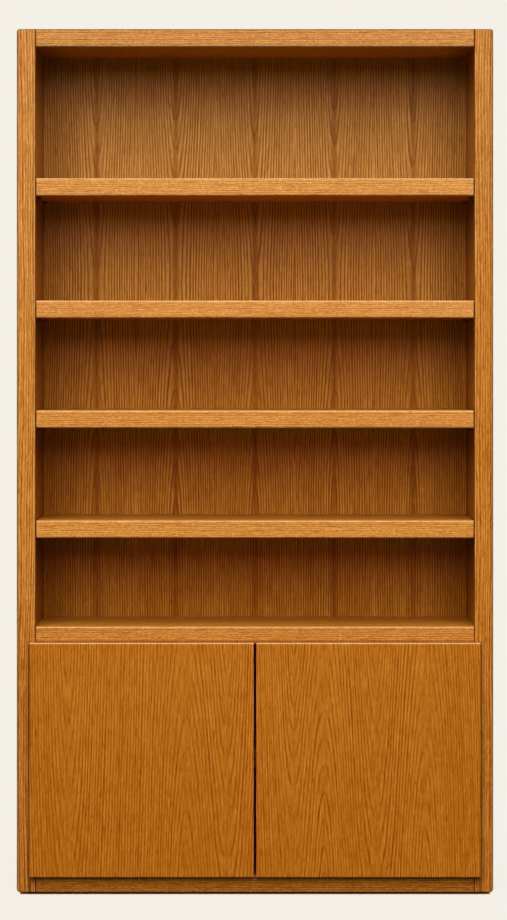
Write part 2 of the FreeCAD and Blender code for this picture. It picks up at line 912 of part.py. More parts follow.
def make_hinge_cups():
    """The cups of the left door's hinges, with flanges and pin lugs."""
    body = new_body("left_hinge_cups", "cup_x", "door_back", "lower_hinge")
    half_length = "flange_length / 2"

    wall = new_sketch(body, "cup_wall_front", "XZ_Plane")
    add_circle(wall, "0", "0", "2 * cup_radius")
    shell = pad(body, wall, "cup_depth")
    rim = new_sketch(body, "cup_rim_front", "XZ_Plane")
    add_circle(rim, "0", "0", "2 * cup_radius")
    lip = pad(body, rim, "flange_thickness", reverse=True)
    wing = new_sketch(body, "flange_front_view", "XZ_Plane")
    add_rectangle(wing, "-flange_front", f"-{half_length}", "flange_back", half_length)
    flange = pad(body, wing, "flange_thickness", reverse=True)
    bowl = new_sketch(body, "cup_bowl_front", "XZ_Plane", "-flange_thickness")
    add_circle(bowl, "0", "0", "2 * bowl_radius")
    hollow = pocket(body, bowl, "flange_thickness + cup_depth - cup_floor", reverse=True)

    inside = "arm_width / 2 + lug_clearance"
    outside = f"{inside} + lug_thickness"
    wall_side = "-sqrt(pow(cup_radius; 2) - pow(arm_width / 2 + lug_clearance + lug_thickness; 2))"
    pivot = "pivot_x - cup_x"
    free_side = f"{pivot} + knuckle_diameter / 2"
    height = "cup_depth - cup_floor - pivot_depth + knuckle_diameter / 2"
    lugs = new_sketch(body, "lug_front", "XZ_Plane", "cup_depth - cup_floor")
    hold = f"{wall_side} + lug_bite"
    add_rectangle(lugs, hold, inside, free_side, outside)
    add_rectangle(lugs, hold, f"-({outside})", free_side, f"-({inside})")
    ears = pad(body, lugs, height, reverse=True)

    pin = new_sketch(body, "pin_bore_plan", "XY_Plane")
    add_circle(pin, pivot, "-pivot_depth", "pivot_pin_diameter + 2 * hole_clearance")
    bore = pocket(body, pin, "pivot_pin_length + 2 * hole_clearance", middle=True)
    screws = new_sketch(body, "cup_screw_front", "XZ_Plane", "-flange_thickness")
    for side in ("", "-"):
        hole = "screw_diameter + 2 * hole_clearance"
        add_circle(screws, "cup_screw_setback", f"{side}cup_screw_spacing / 2", hole)
    holes = pocket(body, screws, "flange_thickness", reverse=True)
    features = [shell, lip, flange, hollow, ears, bore, holes]
    repeat(body, "cup_pair", features, wall, "V_Axis", "hinge_span", "2")
    keep(body, "left_hinge_cups")
    mirror("right_hinge_cups", body)


def make_hinge_arms():
    """The hooked arms that reach from the side panel into the cups."""
    body = new_body("left_hinge_arms", "pivot_x", "pivot_y", "lower_hinge")
    deep = "-knuckle_diameter / 2"
    cross = "front_plane - pivot_y + plate_setback + arm_thickness / 2"
    face = "plate_thickness - inner_half - pivot_x"
    end = f"{cross} + arm_foot_length"
    profile = new_sketch(body, "arm_plan", "XY_Plane")
    add_polygon(
        profile,
        [
            ("0", deep),
            ("arm_reach", deep),
            ("arm_reach", f"{cross} + arm_thickness"),
            (f"{face} + arm_thickness", f"{cross} + arm_thickness"),
            (f"{face} + arm_thickness", end),
            (face, end),
            (face, cross),
            ("arm_reach - arm_thickness", cross),
            ("arm_reach - arm_thickness", f"{deep} + arm_thickness"),
            ("0", f"{deep} + arm_thickness"),
        ],
    )
    strip = pad(body, profile, "arm_width", middle=True)
    ring = new_sketch(body, "knuckle_plan", "XY_Plane")
    add_circle(ring, "0", "0", "knuckle_diameter")
    knuckle = pad(body, ring, "arm_width", middle=True)
    eye = new_sketch(body, "eye_plan", "XY_Plane")
    add_circle(eye, "0", "0", "pivot_pin_diameter + 2 * hole_clearance")
    bore = pocket(body, eye, "arm_width + hole_runout", middle=True)
    fixing = new_sketch(body, "arm_screw_side", "YZ_Plane", face)
    middle = "front_plane - pivot_y + plate_setback + arm_screw_setback"
    add_circle(fixing, middle, "0", "arm_screw_diameter + 2 * hole_clearance")
    hole = pocket(body, fixing, "arm_thickness", reverse=True)
    features = [strip, knuckle, bore, hole]
    repeat(body, "arm_pair", features, fixing, "V_Axis", "hinge_span", "2")
    keep(body, "left_hinge_arms")
    mirror("right_hinge_arms", body)


def make_hinge_plates():
    """The plates screwed to the inner faces of the sides, under the arms."""
    front = "front_plane + plate_setback"
    body = new_body("left_hinge_plates", "-inner_half", front, "lower_hinge")
    side = new_sketch(body, "plate_side", "YZ_Plane")
    add_rectangle(side, "0", "-plate_height / 2", "plate_depth", "plate_height / 2")
    blank = pad(body, side, "plate_thickness")
    holes = new_sketch(body, "plate_holes", "YZ_Plane", "plate_thickness")
    for sign in ("", "-"):
        hole = "screw_diameter + 2 * hole_clearance"
        add_circle(holes, "plate_screw_setback", f"{sign}plate_screw_spacing / 2", hole)
    add_circle(holes, "arm_screw_setback", "0", "arm_screw_diameter + 2 * hole_clearance")
    bores = pocket(body, holes, "plate_thickness")
    repeat(body, "plate_pair", [blank, bores], side, "V_Axis", "hinge_span", "2")

    def corner(box, whole):
        across = near(box.XLength, whole.XLength)
        return across and near(box.YLength, 0) and near(box.ZLength, 0)

    round_edges(body, "plate_corners", "plate_corner_radius", corner)
    keep(body, "left_hinge_plates")
    mirror("right_hinge_plates", body)


def make_hinge_fasteners():
    """The hinges' pivot pins and all their screws."""
    pins = []
    length = mm("pivot_pin_length")
    for height in hinge_heights():
        foot = FreeCAD.Vector(mm("pivot_x"), mm("pivot_y"), height - length / 2)
        pins.append(Part.makeCylinder(mm("pivot_pin_diameter") / 2, length, foot, UP))
    mirror("right_hinge_pins", group("left_hinge_pins", pins))

    inward = -LEFT_TO_RIGHT
    length = mm("plate_screw_length")
    left = [screw(start, inward, length) for start in plate_screw_starts()]
    right = [shape.mirror(FreeCAD.Vector(0, 0, 0), MIRROR_NORMAL) for shape in left]
    group("hinge_plate_screws", left + right)

    left = [arm_screw(height) for height in hinge_heights()]
    right = [shape.mirror(FreeCAD.Vector(0, 0, 0), MIRROR_NORMAL) for shape in left]
    group("hinge_arm_screws", left + right)

    length = mm("cup_screw_length")
    shapes = [screw(start, -BACKWARD, length) for start in cup_screw_starts()]
    mirror("right_cup_screws", group("left_cup_screws", shapes))


def arm_screw(height):
    """The machine screw that holds an arm's foot to its plate."""
    x = mm("plate_thickness + arm_thickness - inner_half")
    y = mm("front_plane + plate_setback + arm_screw_setback")
    radius = mm("arm_screw_diameter") / 2
    head = mm("screw_head_diameter") / 2
    crown = mm("screw_head_thickness")
    reach = mm("plate_thickness + arm_thickness")
    outline = [(-crown, 0), (-crown, head), (0, head), (0, radius), (reach, radius), (reach, 0)]
    return turned(outline, FreeCAD.Vector(x, y, height), -LEFT_TO_RIGHT)


# ---------------------------------------------------------------- touch latches
def make_latches():
    """The touch latches: housing, sprung plunger and strike plate."""
    housing = new_body("left_latch_housing", "-latch_offset", "latch_front", "deck_underside")
    front = new_sketch(housing, "housing_front", "XZ_Plane")
    half = "latch_width / 2"
    add_rectangle(front, f"-{half}", "-latch_height", half, "0")
    pad(housing, front, "latch_length", reverse=True)
    ears = new_sketch(housing, "ear_plan", "XY_Plane", "-ear_thickness")
    low = "(latch_length - ear_length) / 2"
    high = "(latch_length + ear_length) / 2"
    add_rectangle(ears, "-ear_span / 2", low, "ear_span / 2", high)
    pad(housing, ears, "ear_thickness")
    bore = new_sketch(housing, "housing_bore", "XZ_Plane")
    add_circle(bore, "0", "-latch_height / 2", "latch_bore_diameter")
    pocket(housing, bore, "latch_bore_depth")
    holes = new_sketch(housing, "ear_holes", "XY_Plane", "-ear_thickness")
    for sign in ("", "-"):
        hole = "screw_diameter + 2 * hole_clearance"
        add_circle(holes, f"{sign}ear_screw_spacing / 2", "latch_length / 2", hole)
    pocket(housing, holes, "ear_thickness", reverse=True)
    keep(housing, "left_latch_housing")
    mirror("right_latch_housing", housing)

    plunger = new_body("left_latch_plunger", "-latch_offset", "plunger_tip", "latch_axis")
    stem = new_sketch(plunger, "plunger_front", "XZ_Plane")
    add_circle(stem, "0", "0", "plunger_diameter")
    pad(plunger, stem, "plunger_length", reverse=True)
    tail = new_sketch(plunger, "tail_front", "XZ_Plane", "-plunger_length")
    add_circle(tail, "0", "0", "tail_diameter")
    pad(plunger, tail, "tail_length", reverse=True)
    keep(plunger, "left_latch_plunger")
    mirror("right_latch_plunger", plunger)

    mirror("right_latch_spring", group("left_latch_spring", [latch_spring()]))

    plate = new_body("left_strike_plate", "-latch_offset", "door_back", "latch_axis")
    view = new_sketch(plate, "strike_front", "XZ_Plane")
    half_length = "strike_length / 2"
    half_height = "strike_height / 2"
    add_rectangle(view, f"-{half_length}", f"-{half_height}", half_length, half_height)
    for sign in ("", "-"):
        hole = "screw_diameter + 2 * hole_clearance"
        add_circle(view, f"{sign}strike_screw_spacing / 2", "0", hole)
    pad(plate, view, "strike_thickness", reverse=True)
    keep(plate, "left_strike_plate")
    mirror("right_strike_plate", plate)

    length = mm("latch_screw_length")
    starts = both_sides(latch_screw_starts())
    group("latch_screws", [screw(start, UP, length) for start in starts])
    length = mm("strike_screw_length")
    shapes = [screw(start, -BACKWARD, length) for start in strike_screw_starts()]
    mirror("right_strike_screws", group("left_strike_screws", shapes))


def latch_spring():
    """The coil spring behind a plunger, seated on the end of the bore."""
    wire = mm("spring_wire") / 2
    mean = mm("spring_diameter") / 2 - wire
    start = mm("shoulder + plunger_travel + plunger_clearance")
    run = mm("bore_end") - start - 2 * wire
    helix = Part.makeHelix(run / mm("spring_coils"), run, mean)
    profile = Part.Wire(Part.Circle(FreeCAD.Vector(mean, 0, 0), BACKWARD, wire).toShape())
    coil = Part.Wire(helix).makePipeShell([profile], True, True)
    place = FreeCAD.Vector(-mm("latch_offset"), start + wire, mm("latch_axis"))
    coil.Placement = FreeCAD.Placement(place, FreeCAD.Rotation(UP, BACKWARD))
    return coil


# -------------------------------------------------------------- build and write
def check_and_write():
    """Stop on any failed object or bad shape, then write each piece."""
    doc.recompute()
    for thing in doc.Objects:
        if "Invalid" in thing.State or "Error" in thing.State:
            raise ValueError(f"{thing.Name} failed: {thing.State}")
    for name, piece in parts.items():
        if piece.Shape.isNull() or not piece.Shape.isValid() or not piece.Shape.Solids:
            raise ValueError(f"{name} has no valid shape")
    os.makedirs("parts", exist_ok=True)
    for name, piece in parts.items():
        piece.Shape.exportStep(f"parts/{name}.step")
    print(len(parts), "nodes written")


make_side()
make_fixed_boards()
make_back()
make_shelves()
make_joinery()
make_glides()
make_doors()
make_hinge_cups()
make_hinge_arms()
make_hinge_plates()
make_hinge_fasteners()
make_latches()
check_and_write()
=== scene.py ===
import json
import math

import bpy
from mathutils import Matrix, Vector


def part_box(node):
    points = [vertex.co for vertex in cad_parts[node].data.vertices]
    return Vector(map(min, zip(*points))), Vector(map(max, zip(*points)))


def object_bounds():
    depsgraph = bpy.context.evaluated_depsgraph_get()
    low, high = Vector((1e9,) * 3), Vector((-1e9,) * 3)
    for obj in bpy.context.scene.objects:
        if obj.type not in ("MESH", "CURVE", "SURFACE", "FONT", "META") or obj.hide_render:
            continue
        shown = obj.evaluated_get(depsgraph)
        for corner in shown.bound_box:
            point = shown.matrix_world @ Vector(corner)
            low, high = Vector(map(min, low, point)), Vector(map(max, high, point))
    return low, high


# Looks of a golden oak bookcase with open shelves over a two-door cabinet.
# Lengths are in metres; +Z is up and the front faces -Y, as in the frame.

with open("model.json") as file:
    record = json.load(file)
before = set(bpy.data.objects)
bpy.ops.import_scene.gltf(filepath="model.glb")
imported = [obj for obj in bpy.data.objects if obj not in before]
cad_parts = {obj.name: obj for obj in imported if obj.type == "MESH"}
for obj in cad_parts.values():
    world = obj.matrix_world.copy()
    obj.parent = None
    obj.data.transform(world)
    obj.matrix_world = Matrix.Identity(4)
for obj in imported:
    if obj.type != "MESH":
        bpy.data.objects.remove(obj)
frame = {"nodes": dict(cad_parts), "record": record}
cad_box = [list(corner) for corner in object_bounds()]
nodes = frame["nodes"]

MM = 0.001
FRONT_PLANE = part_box("top_lipping")[0].y
INNER_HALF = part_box("top_lipping")[1].x
CASE_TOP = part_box("top_lipping")[1].z
CASE_HALF = cad_box[1][0]
CASE_BACK = cad_box[1][1]
DOOR_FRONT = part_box("left_door_edging")[0].y
DOOR_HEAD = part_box("left_door_edging")[1].z
DOOR_OUTER = -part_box("left_door_edging")[0].x
DOOR_MIDDLE = (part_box("left_door_edging")[0].z + DOOR_HEAD) / 2


def linear(red, green, blue):
    """A colour written as on a screen, 0 to 255, as linear light."""

    def channel(value):
        share = value / 255
        return share / 12.92 if share <= 0.04045 else ((share + 0.055) / 1.055) ** 2.4

    return (channel(red), channel(green), channel(blue), 1.0)


# ---------------------------------------------------------------- camera
PICTURE_HEIGHT = 920  # pixels
CASE_WIDTH_PIXELS = 476.6
CASE_TOP_PIXEL = 28.9
CASE_MIDDLE_PIXEL = 255.0
PICTURE_MIDDLE_PIXEL = 253.5
HORIZON_PIXEL = 357
CAMERA_DISTANCE = 7.4  # from the front plane
SENSOR = 36.0


def add_camera():
    """A level camera in front of the middle, with the horizon above the middle of the picture."""
    case_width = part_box("right_side_panel")[1].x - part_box("left_side_panel")[0].x
    pixel = case_width / CASE_WIDTH_PIXELS
    view_height = PICTURE_HEIGHT * pixel
    eye_level = CASE_TOP - (HORIZON_PIXEL - CASE_TOP_PIXEL) * pixel
    data = bpy.data.cameras.new("camera")
    data.sensor_width = SENSOR
    data.lens = SENSOR * CAMERA_DISTANCE / view_height
    data.shift_x = (PICTURE_MIDDLE_PIXEL - CASE_MIDDLE_PIXEL) / PICTURE_HEIGHT
    data.shift_y = (HORIZON_PIXEL - PICTURE_HEIGHT / 2) / PICTURE_HEIGHT
    camera = bpy.data.objects.new("camera", data)
    camera.location = (0, FRONT_PLANE - CAMERA_DISTANCE, eye_level)
    camera.rotation_euler = (math.radians(90), 0, 0)
    bpy.context.scene.collection.objects.link(camera)
    bpy.context.scene.camera = camera


# ------------------------------------------------------------- materials
class Paint:
    """A material whose node tree is written as formulas of sockets and numbers."""

    def __init__(self, name):
        self.material = bpy.data.materials.new(name)
        self.material.use_nodes = True
        self.tree = self.material.node_tree
        self.surface = self.tree.nodes["Principled BSDF"]
        coordinates = self.add("ShaderNodeTexCoord").outputs
        place = coordinates["Object"]
        self.axes = dict(zip("xyz", self.add("ShaderNodeSeparateXYZ", place).outputs))
        self.facing = dict(zip("xyz", self.add("ShaderNodeSeparateXYZ", coordinates["Normal"]).outputs))

    def add(self, kind, *values, **settings):
        """A node with its settings, and its inputs in order."""
        node = self.tree.nodes.new(kind)
        for key, value in settings.items():
            setattr(node, key, value)
        for socket, value in zip(node.inputs, values):
            self.feed(socket, value)
        return node

    def feed(self, socket, value):
        """A socket takes another socket's value, or a plain value."""
        if isinstance(value, bpy.types.NodeSocket):
            self.tree.links.new(value, socket)
        else:
            socket.default_value = value

    def calc(self, operation, *values):
        return self.add("ShaderNodeMath", *values, operation=operation).outputs[0]

    def from_middle(self):
        """The distance from the part's middle plane."""
        return self.calc("ABSOLUTE", self.axes["x"])

    def vector(self, x, y, z):
        return self.add("ShaderNodeCombineXYZ", x, y, z).outputs[0]

    def noise(self, vector, detail=2.0):
        """Fractal noise from 0 to 1 of a place that is already scaled."""
        node = self.add("ShaderNodeTexNoise")
        self.feed(node.inputs["Vector"], vector)
        self.feed(node.inputs["Scale"], 1.0)
        self.feed(node.inputs["Detail"], detail)
        return node.outputs["Fac"]

    def grain(self, *scales):
        """Noise with so many features a metre along X, Y and Z."""
        scaled = (self.calc("MULTIPLY", self.axes[axis], scale) for axis, scale in zip("xyz", scales))
        return self.noise(self.vector(*scaled))

    def random(self, value):
        """One random number from 0 to 1 for each value."""
        node = self.add("ShaderNodeTexWhiteNoise", noise_dimensions="1D")
        self.feed(node.inputs["W"], value)
        return node.outputs["Value"]

    def ramp(self, value, stops):
        """A colour that follows (place, colour) stops."""
        node = self.add("ShaderNodeValToRGB", value)
        elements = node.color_ramp.elements
        while len(elements) < len(stops):
            elements.new(0.5)
        for element, (place, colour) in zip(elements, stops):
            element.position = place
            element.color = colour
        return node.outputs["Color"]

    def range(self, value, low, high, to_low, to_high):
        """A smooth step from one range to another, held at its ends."""
        node = self.add("ShaderNodeMapRange", value, low, high, to_low, to_high)
        node.interpolation_type = "SMOOTHSTEP"
        return node.outputs["Result"]

    def window(self, value, start, full, fall, end, top=1.0):
        """Nothing up to the start, the top value from full to fall, and nothing from the end on."""
        falling = self.range(value, fall, end, top, 0.0)
        return self.calc("MULTIPLY", falling, self.range(value, start, full, 0.0, 1.0))

    def near(self, value, place, full, none):
        """1 within the full distance of a place, and 0 beyond the other."""
        distance = self.calc("ABSOLUTE", self.calc("SUBTRACT", value, place))
        return self.range(distance, full, none, 1.0, 0.0)

    def mix(self, share, first, second):
        """Two colours mixed by a share from 0 to 1."""
        node = self.add("ShaderNodeMix", data_type="RGBA")
        inputs = [socket for socket in node.inputs if socket.enabled]
        for socket, value in zip(inputs, (share, first, second)):
            self.feed(socket, value)
        return next(socket for socket in node.outputs if socket.enabled)

    def bump(self, height, depth):
        node = self.add("ShaderNodeBump")
        self.feed(node.inputs["Strength"], 1.0)
        self.feed(node.inputs["Distance"], depth)
        self.feed(node.inputs["Height"], height)
        self.feed(self.surface.inputs["Normal"], node.outputs["Normal"])

    def finish(self, colour, roughness, specular=0.5, metallic=0.0):
        self.feed(self.surface.inputs["Base Color"], colour)
        self.feed(self.surface.inputs["Roughness"], roughness)
        self.feed(self.surface.inputs["Specular IOR Level"], specular)
        self.feed(self.surface.inputs["Metallic"], metallic)
        return self.material


# Axes along, across and through a board, by the way it lies.
FRONT_LEVEL = ("x", "z", "y")
FRONT_UPRIGHT = ("z", "x", "y")
BOARD = ("x", "y", "z")
SIDE = ("z", "y", "x")

# Share of the surface normal that points to the front: nothing below the first, all from the
# second to the third, nothing above the last. The flat front itself is left out.
ROUNDED_EDGE = (0.02, 0.2, 0.9, 0.99)
GROOVE_EDGE = (0.03, 0.12, 0.5, 0.85)
GROOVE_SHARE = 0.95
# Share of the normal that points up, down, in or out where an edge starts to count, and counts full.
EDGE_TURN = (0.1, 0.35)
GROOVE_TURN = (0.3, 0.5)
FACE_TURN = (0.4, 0.6)
TOP_TURN = (0.5, 0.9)
EDGE_SHIFT = 0.7  # how far the grain moves across for each metre through the board

# Noise scales are in features a metre, first across the grain and then along it.
RING_WAVES = (((6.0, 1.2), 3.0), ((60.0, 3.0), 0.7), ((60.0, 20.0), 0.2))  # scales, and size in rings
HEART_SCALES = (12.0, 5.0)
HEART_REACH = (1 * MM, 9 * MM)  # across from the pith, where its stain is full and where it ends
LINE_SHARE = 0.5  # half of a line's width, in rings
LEAST_SLOPE = 0.06  # keeps some line at the tip of an arch
LINE_MEAN = 0.9  # taken off again, so that lines don't darken the board as a whole
PALEST_LINE = 0.65
LINE_SPREAD = 0.7  # from the palest line to the darkest
TIP_SLOPES = (0.05, 0.5, 0.3, 1.0)  # a line is pale where the rings lie flat
PATCH_SCALES = (16.0, 2.5)
PATCH_SPREAD = 0.3
DASH_SCALES = (140.0, 45.0)
MIDDLE_NOISE = (0.3, 0.7)  # noise seldom leaves this range
STREAK_SCALES = (270.0, 20.0)
FLECK_SCALES = (360.0, 90.0)
CLOUD_SCALES = (20.0, 4.0)
PORE_SCALES = (520.0, 40.0)
PORE_NOISE = (0.54, 0.72)
PORE_TONE = 0.25
PORE_MEAN = 0.08  # makes up for the pores, which cover less than half of the wood
GRAIN_DEPTH = 0.05 * MM

MIDDLE_TONE = 0.5  # 0 is the lightest and 1 the darkest
TONE_STEP = 44  # steps of a screen colour from the middle tone to either end
# Painted light: the upper parts of the sides and back turn paler, for the sheen and light that fall more on
# them.
PAINTED_LIGHT_HEIGHTS = (0.9, 1.75)  # where the stain of the upper part starts and where it is full
# Painted shade: the sides' fronts turn darker towards the foot, where less light falls.
PAINTED_SHADE_FOOT_HEIGHTS = (0.25, 0.85)  # where the stain of the foot is full and where it ends
LACQUER = 0.08
LACQUER_ROUGHNESS = 0.32
PORE_ROUGHNESS = 0.1
SHADED_FROM = (-0.03, -0.02)  # how far below a board's underside, so these are above it
SHADING_BOARDS = ("top_panel", "shelf_1", "shelf_2", "shelf_3", "shelf_4", "cabinet_deck", "cabinet_shelf")


def shaded(base, offset):
    """A screen colour made lighter or darker by the same step in each channel."""
    return linear(*(min(max(channel + offset, 0), 255) for channel in base))


class Oak(Paint):
    """Lacquered oak of one board.

    grain names the axes along, across and through the board, and face is the place of
    its main face.
    """

    def __init__(self, name, grain, face, seed):
        super().__init__(name)
        self.along, across, self.through = (self.axes[axis] for axis in grain)
        behind_face = self.calc("SUBTRACT", self.through, face)
        self.side = self.calc("MULTIPLY_ADD", behind_face, EDGE_SHIFT, across)
        self.seed = seed
        self.front = self.calc("MULTIPLY", self.facing["y"], -1.0)
        self.rounded = self.window(self.front, *ROUNDED_EDGE)
        outward = self.calc("MULTIPLY", self.facing["x"], self.calc("SIGN", self.axes["x"]))
        self.turned = {
            "up": self.facing["z"],
            "down": self.calc("MULTIPLY", self.facing["z"], -1.0),
            "out": outward,
            "in": self.calc("MULTIPLY", outward, -1.0),
        }
        self.tone = MIDDLE_TONE
        self.dull = self.rounded

    def drawn_out(self, across_scale, along_scale, detail=2.0):
        """Noise stretched along the grain."""
        place = self.vector(
            self.calc("MULTIPLY_ADD", self.side, across_scale, self.seed),
            self.calc("MULTIPLY", self.through, across_scale),
            self.calc("MULTIPLY", self.along, along_scale))
        return self.noise(place, detail)

    def darken(self, amount):
        self.tone = self.calc("ADD", self.tone, amount)

    def vary(self, noise, amount):
        """Let a pattern around 0.5 make the wood lighter and darker."""
        self.tone = self.calc("MULTIPLY_ADD", self.calc("SUBTRACT", noise, 0.5), amount, self.tone)

    def ring_height(self, ring, arches, middle, heart, wave):
        """The number of rings passed at each place, and how fast it changes across.

        At each arch (place, depth, taper) the saw passed the tree's pith at that depth, so
        the rings are level lines of the distance from it. The depth grows along the board
        by the taper, from its value at the middle, and the rings point that way. With a
        wave it comes and goes over that length instead.
        """
        calc = self.calc
        rise = calc("SUBTRACT", self.along, middle)
        if wave:
            turns = 2 * math.pi / wave
            rise = calc("MULTIPLY", calc("SINE", calc("MULTIPLY", rise, turns)), 1 / turns)
        # The arches take turns to add to the slope and to take from it, which with this lean
        # is 1 or -1 between them. A board without arches has plain rings from side to side.
        lean = 1.0
        if arches:
            lean = 0.0 if len(arches) % 2 else -1.0
        height = calc("MULTIPLY_ADD", self.side, lean / ring, self.seed)
        slope = lean
        sign = 1.0
        for place, pith_depth, taper in arches:
            away = calc("SUBTRACT", self.side, place)
            level = calc("MULTIPLY_ADD", rise, taper, pith_depth)
            reach = calc("SQRT", calc("MULTIPLY_ADD", away, away, calc("MULTIPLY", level, level)))
            height = calc("MULTIPLY_ADD", reach, sign / ring, height)
            slope = calc("MULTIPLY_ADD", calc("DIVIDE", away, reach), sign, slope)
            if heart and taper:
                close = self.range(calc("ABSOLUTE", away), *HEART_REACH, 2 * heart, 0.0)
                self.darken(calc("MULTIPLY", close, self.drawn_out(*HEART_SCALES)))
            sign = -sign
        return height, calc("ABSOLUTE", slope)

    def add_rings(self, ring, depth, arches=(), middle=0.0, wobble=1.0, heart=0.0, wave=None, broken=0.5):
        """Year rings as dark lines of one width, some of them paler, broken into dashes."""
        calc = self.calc
        height, slope = self.ring_height(ring, arches, middle, heart, wave)
        for scales, rings in RING_WAVES:
            height = calc("MULTIPLY_ADD", self.drawn_out(*scales), rings * wobble, height)
        off_line = calc("ABSOLUTE", calc("SUBTRACT", calc("FRACT", height), 0.5))
        reach = calc("MULTIPLY", calc("MAXIMUM", slope, LEAST_SLOPE), LINE_SHARE)
        strength = calc("MULTIPLY_ADD", self.random(calc("FLOOR", height)), LINE_SPREAD, PALEST_LINE)
        strength = calc("MULTIPLY", strength, self.range(slope, *TIP_SLOPES))
        self.line = calc("MULTIPLY", self.range(off_line, 0.0, reach, 1.0, 0.0), strength)
        patches = self.range(self.drawn_out(*PATCH_SCALES), *MIDDLE_NOISE, 1 - PATCH_SPREAD, 1 + PATCH_SPREAD)
        dashes = self.range(self.drawn_out(*DASH_SCALES), *MIDDLE_NOISE, 1 - broken, 1 + broken)
        even = calc("SUBTRACT", self.line, calc("MULTIPLY", reach, LINE_MEAN))
        uneven = calc("MULTIPLY", even, calc("MULTIPLY", patches, dashes))
        self.tone = calc("MULTIPLY_ADD", uneven, depth, self.tone)

    def add_fibres(self, streaks, flecks, clouds, shorter=1.0):
        """Long streaks, short flecks and pores, and broad clouds."""
        patterns = (
            (STREAK_SCALES, shorter, streaks), (FLECK_SCALES, shorter, flecks), (CLOUD_SCALES, 1.0, clouds))
        for (across, along), shortening, amount in patterns:
            self.vary(self.drawn_out(across, along * shortening, detail=1.0), amount)
        self.pore = self.range(self.drawn_out(*PORE_SCALES, detail=1.0), *PORE_NOISE, 0.0, 1.0)
        self.vary(self.pore, PORE_TONE)
        self.darken(PORE_MEAN)

    def stained(self, middle):
        """The tone as a colour around this one."""
        return self.ramp(self.tone, [
            (0.0, shaded(middle, TONE_STEP)),
            (MIDDLE_TONE, shaded(middle, 0)),
            (1.0, shaded(middle, -TONE_STEP)),
        ])

    def restain(self, share, colour):
        """Another stain over a share of the board."""
        self.colour = self.mix(share, self.colour, self.stained(colour))

    def stain(self, base, painted_light=None):
        """The main colour, and a paler colour of painted light that it turns to near the top."""
        self.colour = self.stained(base)
        if painted_light:
            self.restain(self.range(self.along, *PAINTED_LIGHT_HEIGHTS, 0.0, 1.0), painted_light)

    def paint_edge_light_and_shade(self, edges):
        """Painted highlights and shade on the rounded edges, by the way they turn to the light."""
        for way, colour in edges.items():
            turned = self.range(self.turned[way], *EDGE_TURN, 0.0, 1.0)
            self.restain(self.calc("MULTIPLY", self.rounded, turned), colour)

    def shade(self, share, colour):
        """A matt dark line or band."""
        self.colour = self.mix(share, self.colour, linear(*colour))
        self.dull = self.calc("MAXIMUM", self.dull, share)

    def paint_groove_shade(self, way, colour):
        """Painted shade where a rounded edge runs into a groove or beside a gap."""
        deep = self.window(self.front, *GROOVE_EDGE, top=GROOVE_SHARE)
        turned = self.range(self.turned[way], *GROOVE_TURN, 0.0, 1.0)
        self.shade(self.calc("MULTIPLY", deep, turned), colour)

    def shade_below_boards(self, facing, colour, near, far):
        """Painted shade under each board, on the face inside: the wood just below a board's underside turns
        to a darker, shaded colour.
        """
        stained = self.stained(colour)
        inside = self.range(facing, *FACE_TURN, 0.0, 1.0)
        for name in SHADING_BOARDS:
            below = self.calc("SUBTRACT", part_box(name)[0].z, self.along)
            share = self.window(below, *SHADED_FROM, near, far)
            self.colour = self.mix(self.calc("MULTIPLY", share, inside), self.colour, stained)

    def matt_top(self):
        """No sheen on the case's own top, which faces the highest lamp."""
        level = self.range(self.facing["z"], *TOP_TURN, 0.0, 1.0)
        self.dull = self.calc("MAXIMUM", self.dull, level)

    def lacquer(self):
        """The finished material: a low sheen, less on edges and in grooves."""
        hollows = self.calc("ADD", self.line, self.pore)
        self.bump(self.calc("SUBTRACT", 0.0, hollows), GRAIN_DEPTH)
        roughness = self.calc("MULTIPLY_ADD", self.pore, PORE_ROUGHNESS, LACQUER_ROUGHNESS)
        sheen = self.calc("MULTIPLY_ADD", self.dull, -LACQUER, LACQUER)
        return self.finish(self.colour, roughness, sheen)


# Stains and painted light and shade, as screen colours.
# Partly painted shade: the deck's front, and the bottom's and cabinet shelf's behind the doors, are darker
# for the light that falls less on them.
BOARD_FRONTS = {
    "top_lipping": (206, 136, 62),
    "shelf_1_lipping": (221, 147, 67),
    "shelf_2_lipping": (222, 145, 65),
    "shelf_3_lipping": (220, 141, 59),
    "shelf_4_lipping": (221, 143, 58),
    "deck_lipping": (202, 129, 48),
    "cabinet_shelf_lipping": (168, 96, 26),
    "bottom_lipping": (182, 105, 20),
}
SIDE_FRONT = {"left": (205, 128, 42), "right": (196, 117, 28)}
# Painted light: paler colours of the sides' fronts near the top.
SIDE_FRONT_PAINTED_LIGHT = {"left": (204, 132, 56), "right": (196, 123, 42)}
# Painted shade: darker colours of the sides' fronts towards the foot.
SIDE_FRONT_PAINTED_SHADE = {"left": (186, 111, 30), "right": (188, 112, 28)}
DOOR = (186, 104, 10)
BACK = (196, 124, 26)
# Painted light: a paler colour of the back near the top.
BACK_PAINTED_LIGHT = (198, 139, 57)
# Painted shade: a darker, less red colour just under the boards.
BACK_SHADED = (176, 136, 20)
SIDE_FACE = (184, 113, 18)
# Painted light: a paler colour of the side faces near the top.
SIDE_FACE_PAINTED_LIGHT = (186, 124, 36)
# Painted shade: a darker colour just under the boards.
SIDE_FACE_SHADED = (126, 78, 10)
BOARD_FACE = (198, 125, 26)
# Painted shade: a darker, less red colour of the top's underside.
TOP_UNDERSIDE_SHADE = (172, 121, 22)
